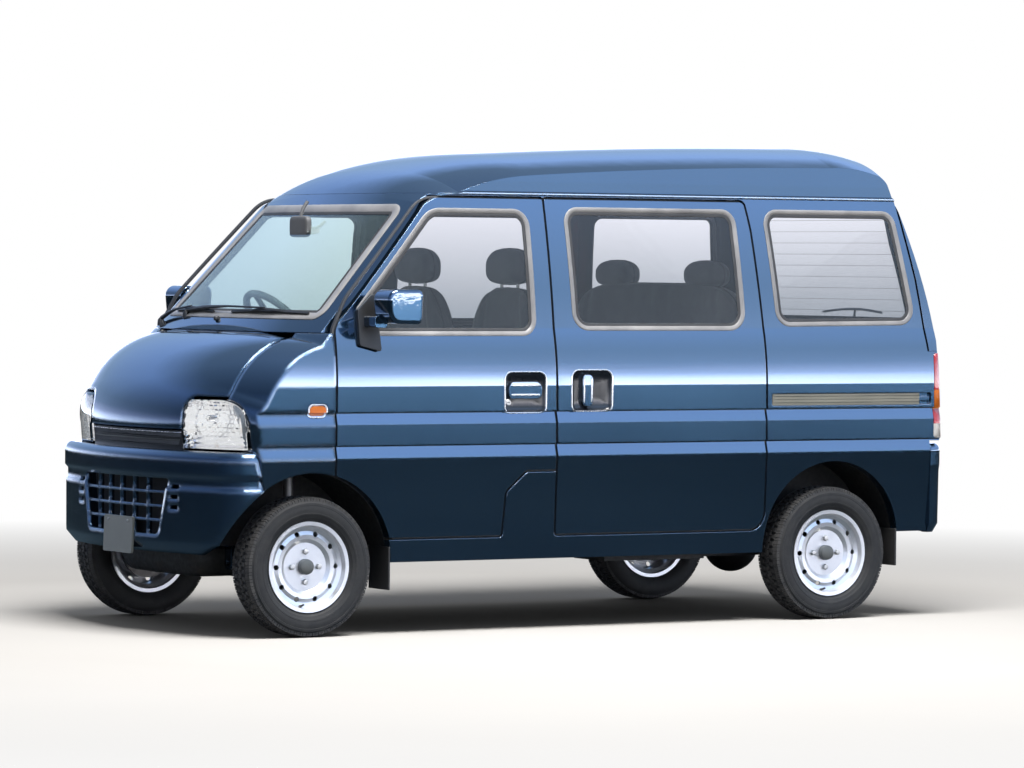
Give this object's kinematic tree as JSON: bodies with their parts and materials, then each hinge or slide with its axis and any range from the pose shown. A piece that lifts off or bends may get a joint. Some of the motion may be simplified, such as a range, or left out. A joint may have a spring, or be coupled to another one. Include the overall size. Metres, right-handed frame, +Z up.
{
  "type": "kei van",
  "caption": "Small high-roof van with hinged front doors, sliding side doors, a lifting tailgate and a short sloping bonnet.",
  "frame": {"origin": "on the ground under the centre of the van's bounding box", "axes": "+X forward, +Y to the van's left, +Z up"},
  "size_m": [3.3956, 1.808, 1.8708],
  "materials": {
    "paint": "metallic gloss",
    "glass": "clear",
    "lamp_clear": "clear",
    "lamp_amber": "gloss",
    "lamp_red": "gloss",
    "black_plastic": "satin",
    "grey_plastic": "matt",
    "seat_cloth": "woven",
    "flap_rubber": "matt",
    "underbody_black": "matt",
    "chassis_black": "satin",
    "cast_metal": "cast",
    "tyre": "matt",
    "wheel_silver": "satin silver"
  },
  "bodies": {
    "van": {"sliding_door_left": "paint", "sliding_door_right": "paint", "sliding_door_glass_left": "glass", "sliding_door_glass_right": "glass", "quarter_glass": "glass", "side_frame_left": "paint", "side_frame_right": "paint", "headlamps": "lamp_clear", "fender_left": "paint", "fender_right": "paint", "side_repeaters": "lamp_amber", "front_body": "paint", "windscreen": "glass", "roof_panel": "paint", "tail_lamps": "lamp_red", "front_bumper": "paint", "rear_bumper": "paint", "upper_grille": "black_plastic", "underbody": "underbody_black", "dashboard": "grey_plastic", "front_seats": "seat_cloth", "rear_seat": "seat_cloth", "mud_flaps": "flap_rubber", "engine_block": "cast_metal", "rear_axle": "chassis_black", "front_suspension": "chassis_black", "front_tow_eye": "underbody_black"},
    "front_door_left": {"front_door_left": "paint", "front_door_glass_left": "glass", "mirror_left": "paint"},
    "front_door_right": {"front_door_right": "paint", "front_door_glass_right": "glass", "mirror_right": "paint"},
    "tailgate": {"tailgate": "paint", "tailgate_glass": "glass"},
    "bonnet": {"bonnet": "paint"},
    "steering_wheel": {"steering_wheel": "black_plastic"},
    "knuckle_left": {"knuckle_left": "cast_metal"},
    "knuckle_right": {"knuckle_right": "cast_metal"},
    "wheel_front_left": {"tyre_front_left": "tyre", "rim_front_left": "wheel_silver"},
    "wheel_front_right": {"tyre_front_right": "tyre", "rim_front_right": "wheel_silver"},
    "wheel_rear_left": {"tyre_rear_left": "tyre", "rim_rear_left": "wheel_silver"},
    "wheel_rear_right": {"tyre_rear_right": "tyre", "rim_rear_right": "wheel_silver"}
  },
  "joints": [
    {"name": "front_door_left_hinge", "type": "hinge", "parent": "van", "child": "front_door_left", "pos_m": [1.162, 0.745, 0.5], "axis": [0, 0, -1], "range_deg": [0, 65]},
    {"name": "front_door_right_hinge", "type": "hinge", "parent": "van", "child": "front_door_right", "pos_m": [1.162, -0.745, 0.5], "axis": [0, 0, 1], "range_deg": [0, 65]},
    {"name": "tailgate_hinge", "type": "hinge", "parent": "van", "child": "tailgate", "pos_m": [-1.381, 0, 1.856], "axis": [0, 1, 0], "range_deg": [0, 85]},
    {"name": "bonnet_hinge", "type": "hinge", "parent": "van", "child": "bonnet", "pos_m": [1.272, 0, 1.142], "axis": [0, -1, 0], "range_deg": [0, 50]},
    {"name": "steer_left", "type": "hinge", "parent": "van", "child": "knuckle_left", "pos_m": [1.2575, 0.538, 0.262], "axis": [0, 0, 1], "range_deg": [-33, 33]},
    {"name": "steer_right", "type": "hinge", "parent": "van", "child": "knuckle_right", "pos_m": [1.2575, -0.538, 0.262], "axis": [0, 0, 1], "range_deg": [-33, 33]},
    {"name": "steering_wheel_turn", "type": "hinge", "parent": "van", "child": "steering_wheel", "pos_m": [0.8, -0.35, 1.13], "axis": [-0.7431, 0, 0.6691], "range_deg": [-528, 528]},
    {"name": "spin_front_left", "type": "hinge", "parent": "knuckle_left", "child": "wheel_front_left", "pos_m": [1.2575, 0.645, 0.262], "axis": [0, 1, 0], "continuous": true},
    {"name": "spin_front_right", "type": "hinge", "parent": "knuckle_right", "child": "wheel_front_right", "pos_m": [1.2575, -0.645, 0.262], "axis": [0, 1, 0], "continuous": true},
    {"name": "spin_rear_left", "type": "hinge", "parent": "van", "child": "wheel_rear_left", "pos_m": [-1.0925, 0.645, 0.262], "axis": [0, 1, 0], "continuous": true},
    {"name": "spin_rear_right", "type": "hinge", "parent": "van", "child": "wheel_rear_right", "pos_m": [-1.0925, -0.645, 0.262], "axis": [0, 1, 0], "continuous": true}
  ],
  "couplings": [
    {"joint": "steer_right", "follows": "steer_left", "ratio": 1},
    {"joint": "steering_wheel_turn", "follows": "steer_left", "ratio": 16}
  ]
}
